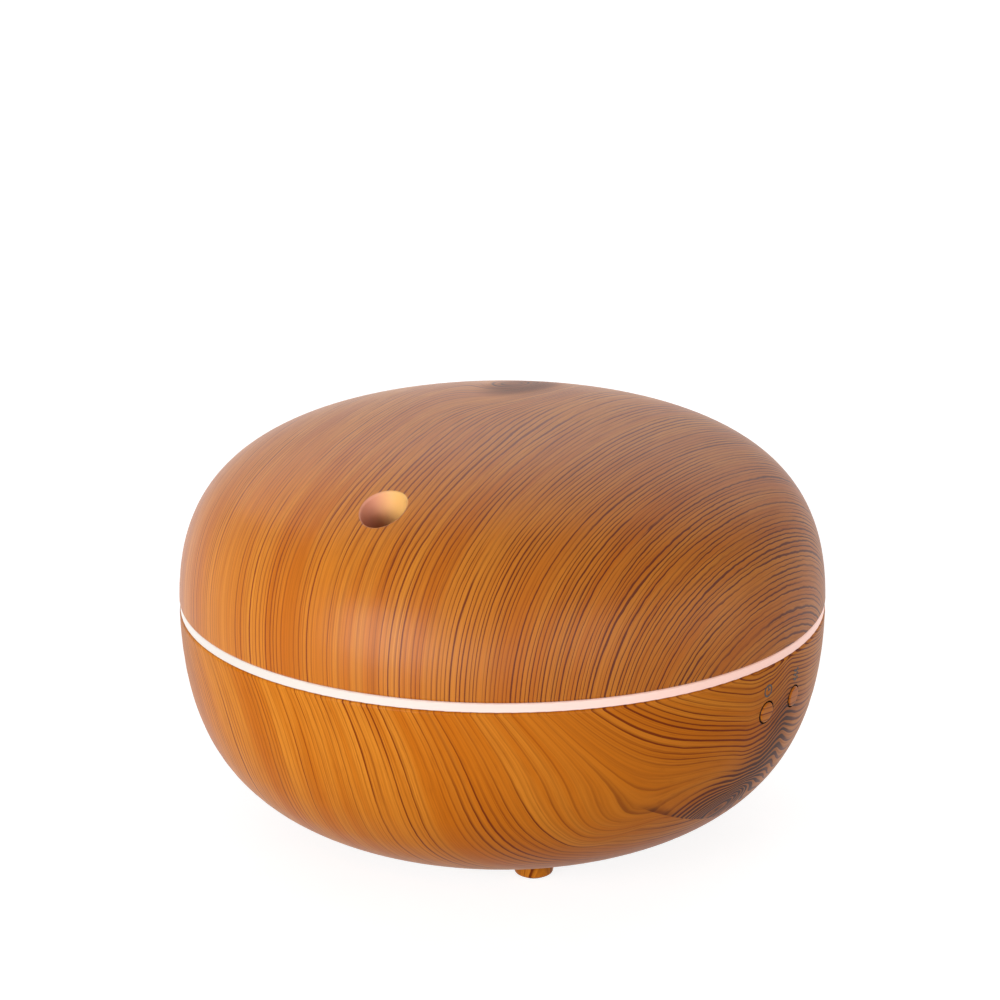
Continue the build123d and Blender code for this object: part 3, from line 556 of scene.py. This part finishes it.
def capacitor_can():
    """A dark printed sleeve with a pale stripe, and the bare can's end on top."""
    ink_blue = {"Base": srgb(40, 46, 74), "Other": srgb(30, 34, 58)}
    material, tree, shader = new_material("can_aluminium")
    towards_buttons, _, upwards = surface_direction(tree)
    top = upwards.ramp(0.6, 0.7)
    stripe = towards_buttons.ramp(0.84, 0.88)
    surface = use(tree, MOTTLE, **ink_blue, Grain=1.6, Low=0.28, High=0.4)
    sleeve = mix(tree, stripe, surface["Colour"], srgb(196, 200, 206))
    feed(tree, shader.inputs["Base Color"], mix(tree, top, sleeve, srgb(204, 206, 210)))
    feed(tree, shader.inputs["Roughness"], surface["Roughness"])
    feed(tree, shader.inputs["Metallic"], top)
    add_bump(tree, shader, surface["Height"], 0.05, 0.0002)
    return material


def piezo_disc():
    """A metal disc marked with fine circles, silvered over its middle inside a brass-coloured rim."""
    silvered_radius, circle_pitch = 7.0, 0.3
    silver = {"Base": srgb(222, 220, 214), "Other": srgb(196, 194, 188)}
    material, tree, shader = new_material("disc_metal")
    middle = middle_mm(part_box("transducer_disc"))
    x, y, _ = place_mm(tree)
    radius = reach(x - middle.x, y - middle.y)
    surface = use(tree, MOTTLE, **silver, Grain=2.2, Low=0.2, High=0.38)
    rim = radius.ramp(silvered_radius, silvered_radius + 0.2)
    feed(tree, shader.inputs["Base Color"], mix(tree, rim, surface["Colour"], srgb(214, 184, 120)))
    circles = (radius / circle_pitch).mod(1.0)
    feed(tree, shader.inputs["Roughness"], surface["Roughness"] + circles * 0.08)
    shader.inputs["Metallic"].default_value = 0.9
    add_bump(tree, shader, circles, 0.1, 0.00003)
    return material


def brushed(name, base, other):
    """Extruded metal with fine upright draw lines."""
    material, tree, shader = new_material(name)
    x, y, z = place_mm(tree)
    lines = noise(tree, point(tree, x * 5.0, y * 5.0, z * 0.2), 3.0, 0.6)
    feed(tree, shader.inputs["Base Color"], mix(tree, lines.ramp(0.3, 0.7), base, other))
    feed(tree, shader.inputs["Roughness"], lines.ramp(0.3, 0.7, 0.28, 0.46))
    shader.inputs["Metallic"].default_value = 1.0
    add_bump(tree, shader, lines, 0.15, 0.0001)
    return material


def lit_lens():
    """The lens of a light-emitting diode that is switched on."""
    material = mottled("led_lens", srgb(252, 240, 214), srgb(244, 226, 190), 1.5, (0.2, 0.3))
    shader = material.node_tree.nodes["Principled BSDF"]
    shader.inputs["Emission Color"].default_value = srgb(255, 222, 208)
    shader.inputs["Emission Strength"].default_value = 0.9
    return material


def glowing_ring():
    """Milky plastic glowing from inside, pinker towards the buttons' side, with a painted shadow line along
    its foot.
    """
    material, tree, shader = new_material("ring_diffuser")
    x, y, z = place_mm(tree)
    pinkness = (x * 0.83 + y * 0.56).ramp(-75.0, 80.0)
    rim = (shell_high.z - SEAM) / MM
    # a painted shadow line along the foot, just above the shell's rim, in the base colour and the glow
    above_painted_shadow = z.ramp(rim + 0.02, rim + 0.2)
    milky = mix(tree, pinkness, srgb(168, 164, 158), srgb(196, 166, 158))
    colour = mix(tree, above_painted_shadow, srgb(120, 66, 44), milky)
    surface = use(tree, MOTTLE, Base=colour, Other=colour, Grain=0.8, Low=0.3, High=0.4)
    feed(tree, shader.inputs["Base Color"], surface["Colour"])
    feed(tree, shader.inputs["Roughness"], surface["Roughness"])
    glow = mix(tree, pinkness, srgb(255, 244, 236), srgb(255, 198, 178))
    feed(tree, shader.inputs["Emission Color"], mix(tree, above_painted_shadow, srgb(20, 8, 4), glow))
    shader.inputs["Emission Strength"].default_value = 0.45
    return material


# slot: the two colours, grains per millimetre, roughness from and to, bump, metallic
mottled_slots = {
    "white_plastic": ((242, 240, 237), (236, 234, 230), 1.4, (0.3, 0.42), 0.05, 0.0),
    "pad_rubber": ((74, 68, 64), (52, 48, 46), 2.6, (0.7, 0.9), 0.3, 0.0),
    "steel": ((198, 198, 202), (168, 168, 174), 3.0, (0.22, 0.4), 0.05, 1.0),
    "silicone": ((226, 224, 218), (208, 206, 200), 1.8, (0.45, 0.6), 0.12, 0.0),
    "black_plastic": ((38, 38, 41), (26, 26, 28), 2.4, (0.38, 0.58), 0.15, 0.0),
    "dark_magnet": ((72, 70, 70), (50, 48, 48), 3.2, (0.5, 0.75), 0.25, 0.0),
    "bearing_bronze": ((188, 150, 92), (150, 112, 62), 4.0, (0.3, 0.55), 0.05, 1.0),
    "motor_core": ((150, 140, 132), (110, 100, 94), 4.0, (0.35, 0.6), 0.05, 0.8),
    "contact_brass": ((222, 196, 128), (186, 156, 92), 3.0, (0.2, 0.35), 0.05, 1.0),
    "gasket_foam": ((56, 56, 60), (36, 36, 40), 5.0, (0.8, 0.95), 0.5, 0.0),
    "wire_sleeve": ((176, 40, 34), (146, 28, 26), 1.5, (0.35, 0.5), 0.05, 0.0),
}
materials = {
    name: mottled(name, srgb(*base), srgb(*other), grain, rough, bump, metallic)
    for name, (base, other, grain, rough, bump, metallic) in mottled_slots.items()
}
lacquer, copper_run = srgb(30, 98, 56), srgb(62, 132, 78)
materials["wood_film"] = wood("wood_film", cover_grain, outlet_plastic_light_and_shade, gloss=0.2)
materials["ring_diffuser"] = glowing_ring()
materials["disc_metal"] = piezo_disc()
materials["board_green"] = board("board_green", lacquer, copper_run)
materials["board_white"] = board("board_white", srgb(236, 236, 232), srgb(208, 208, 202))
materials["sink_aluminium"] = brushed("sink_aluminium", srgb(208, 209, 212), srgb(168, 170, 176))
materials["can_aluminium"] = capacitor_can()
materials["coil_copper"] = choke_winding()
materials["led_lens"] = lit_lens()

# nodes that don't look like the rest of their slot
own_look = {
    "lower_shell": wood("wood_film_shell", shell_grain, shell_gap_shade, gloss=0.06),
    "power_button": wood("wood_film_button", button_grain, button_flank_shade),
    "button_board": board("board_green_upright", lacquer, copper_run, upright=True),
}
own_look["light_button"] = own_look["power_button"]
for name, sleeve, fold in (
    ("disc_wire", srgb(40, 40, 44), srgb(28, 28, 30)),
    ("led_wire", srgb(226, 224, 218), srgb(206, 204, 198)),
    ("button_wire", srgb(214, 168, 42), srgb(190, 144, 30)),
):
    own_look[name] = mottled(name + "_sleeve", sleeve, fold, 1.5, (0.34, 0.48))

for name, node in nodes.items():
    material = own_look.get(name) or materials[slot_of[name]]
    node.data.materials.clear()
    node.data.materials.append(material)

# ---- printed marks above the buttons ----
# in metres
MARK_RISE = 0.0058  # a mark's middle above its button's
LINE_WIDTH = 0.0005
INK_PROUD = 0.00004  # the line's top above the shell
INK_SUNK = 0.00003  # its underside below the shell's surface
shell_tree = BVHTree.FromPolygons(
    [vertex.co for vertex in nodes["lower_shell"].data.vertices],
    [face.vertices for face in nodes["lower_shell"].data.polygons],
)


def on_shell(azimuth, height):
    """The point and outward direction on the lower shell, for an angle in radians from the front."""
    away = Vector((math.sin(azimuth), -math.cos(azimuth), 0))
    start = Vector((0, 0, height)) + away * (shell_high.x + 0.02)
    place, facing, _, _ = shell_tree.ray_cast(start, -away)
    return place, facing if facing.dot(away) > 0 else -facing


def printed_mark(name, strokes, button):
    """Ink strokes on the shell above a button; each stroke is a list of points in millimetres."""
    low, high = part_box(button)
    middle = (low + high) / 2
    azimuth, height = math.atan2(middle.x, -middle.y), middle.z + MARK_RISE
    mesh = bmesh.new()
    for stroke in strokes:
        places, outward = [], []
        for right, up in stroke:
            place, facing = on_shell(azimuth + right * MM / shell_high.x, height + up * MM)
            places.append(place)
            outward.append(facing)
        closed = (Vector(stroke[0]) - Vector(stroke[-1])).length < 0.01
        sections = []
        last = len(places) - 1
        for k, place in enumerate(places):
            before = places[last - 1] if closed and k == 0 else places[max(k - 1, 0)]
            after = places[1] if closed and k == last else places[min(k + 1, last)]
            side = (after - before).cross(outward[k]).normalized() * LINE_WIDTH / 2
            top, root = outward[k] * INK_PROUD, outward[k] * -INK_SUNK
            corners = (place - side + top, place + side + top, place + side + root, place - side + root)
            sections.append([mesh.verts.new(corner) for corner in corners])
        for first, second in zip(sections, sections[1:]):
            for k in range(4):
                mesh.faces.new((first[k], first[(k + 1) % 4], second[(k + 1) % 4], second[k]))
        if not closed:
            mesh.faces.new(sections[0])
            mesh.faces.new(reversed(sections[-1]))
    bmesh.ops.remove_doubles(mesh, verts=mesh.verts, dist=0.000002)
    bmesh.ops.recalc_face_normals(mesh, faces=mesh.faces)
    data = bpy.data.meshes.new(name)
    mesh.to_mesh(data)
    mark = bpy.data.objects.new(name, data)
    bpy.context.scene.collection.objects.link(mark)
    mark.data.materials.append(ink)
    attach(mark, "base")


ink = mottled("mark_ink", srgb(34, 24, 20), srgb(50, 36, 28), 6.0, (0.45, 0.6))
dial_radius = 1.45
dial_turns = [math.tau * k / 40 for k in range(41)]
dial = [(dial_radius * math.cos(turn), dial_radius * math.sin(turn)) for turn in dial_turns]
hands = [(0.0, 0.95), (0.0, 0.0), (0.7, 0.4)]
printed_mark("timer_mark", [dial, hands], "power_button")
wave_half_width, wave_height, wave_spacing = 1.3, 0.3, 1.15
waves = [
    [
        (wave_half_width * (2 * k / 24 - 1), level + wave_height * math.sin(math.tau * 1.5 * k / 24))
        for k in range(25)
    ]
    for level in (-wave_spacing, 0.0, wave_spacing)
]
printed_mark("mist_mark", waves, "light_button")

# ---- floor, light and camera ----
def seen_directly(tree):
    """1 for rays that the camera, a gloss or a clear piece sends out."""
    rays = add_node(tree, "ShaderNodeLightPath")
    kinds = ("Is Camera Ray", "Is Glossy Ray", "Is Transmission Ray")
    camera_ray, glossy_ray, clear_ray = (Field(tree, rays.outputs[kind]) for kind in kinds)
    return camera_ray.math("MAXIMUM", glossy_ray).math("MAXIMUM", clear_ray)


def pale_floor():
    """A white floor that keeps a faint shadow under the object."""
    material = mottled("floor_paint", srgb(170, 170, 170), srgb(166, 166, 166), 0.05, (0.8, 0.9), 0.0)
    tree = material.node_tree
    shader = tree.nodes["Principled BSDF"]
    shader.inputs["Specular IOR Level"].default_value = 0.0
    shader.inputs["Emission Color"].default_value = (1.0, 1.0, 1.0, 1.0)
    x, y, _ = place_mm(tree)
    outwards = reach(x, y).ramp(250.0, 900.0, 0.84, 1.0)
    feed(tree, shader.inputs["Emission Strength"], seen_directly(tree) * outwards)
    return material


floor_half = 2.6
floor_mesh = bpy.data.meshes.new("floor")
floor_mesh.from_pydata(
    [(x * floor_half, y * floor_half, 0) for x, y in ((-1, -1), (1, -1), (1, 1), (-1, 1))],
    [],
    [(0, 1, 2, 3)],
)
floor = bpy.data.objects.new("floor", floor_mesh)
floor.location = (0, 0, -0.0002)
bpy.context.scene.collection.objects.link(floor)
floor.data.materials.append(pale_floor())

centre = Vector((0, 0, SEAM))


def direction(azimuth, elevation):
    """A direction away from the object, in degrees. Azimuth 0 is the front, 90 the buttons' side."""
    turn, lift = math.radians(azimuth), math.radians(elevation)
    return Vector((math.sin(turn) * math.cos(lift), -math.cos(turn) * math.cos(lift), math.sin(lift)))


def softbox(name, azimuth, elevation, distance, size, power):
    """A rectangular light that faces the object."""
    away = direction(azimuth, elevation)
    data = bpy.data.lights.new(name, "AREA")
    data.shape = "RECTANGLE"
    data.size, data.size_y = size
    data.energy = power
    light = bpy.data.objects.new(name, data)
    light.location = centre + away * distance
    light.rotation_euler = away.to_track_quat("Z", "Y").to_euler()
    bpy.context.scene.collection.objects.link(light)


softbox("back_panel", 214, 52, 1.1, (2.2, 1.1), 7.2)
softbox("front_left", -6, 4, 0.85, (0.45, 0.6), 6.6)
softbox("front_low", 20, -1, 1.0, (0.8, 0.3), 3.8)
softbox("right_front", 62, 8, 1.1, (0.5, 0.7), 3.8)
softbox("right", 106, 2, 0.9, (0.5, 0.6), 2.0)

# the world is white where it is seen and dim where it only lights
world = bpy.data.worlds.new("studio")
bpy.context.scene.world = world
world.use_nodes = True
tree = world.node_tree
tree.nodes.clear()
dim = add_node(tree, "ShaderNodeBackground", Color=srgb(255, 252, 250), Strength=0.2)
white = add_node(tree, "ShaderNodeBackground", Color=(1.0, 1.0, 1.0, 1.0), Strength=1.0)
choose = add_node(tree, "ShaderNodeMixShader")
feed(tree, choose.inputs["Fac"], seen_directly(tree))
tree.links.new(dim.outputs[0], choose.inputs[1])
tree.links.new(white.outputs[0], choose.inputs[2])
tree.links.new(choose.outputs[0], add_node(tree, "ShaderNodeOutputWorld").inputs["Surface"])

VIEW_AZIMUTH, VIEW_HEIGHT = 34.25, 18.93  # degrees
VIEW_DISTANCE = 0.756
FOCAL_RATIO = 2.8885  # focal length over the sensor's width
LOOK_DOWN, PAN, ROLL = 0.2984, 0.0008, -0.0021  # radians
camera_data = bpy.data.cameras.new("camera")
camera_data.sensor_width = 36.0
camera_data.lens = camera_data.sensor_width * FOCAL_RATIO
camera_data.clip_start, camera_data.clip_end = 0.05, 20.0
camera = bpy.data.objects.new("camera", camera_data)
camera.location = direction(VIEW_AZIMUTH, VIEW_HEIGHT) * VIEW_DISTANCE + centre
turn = Matrix.Rotation(math.radians(VIEW_AZIMUTH) + PAN, 4, "Z")
tilt = Matrix.Rotation(math.pi / 2 - LOOK_DOWN, 4, "X")
roll = Matrix.Rotation(ROLL, 4, "Z")
camera.rotation_euler = (turn @ tilt @ roll).to_euler()
bpy.context.scene.collection.objects.link(camera)
bpy.context.scene.camera = camera

bpy.context.scene.view_settings.view_transform = "Standard"
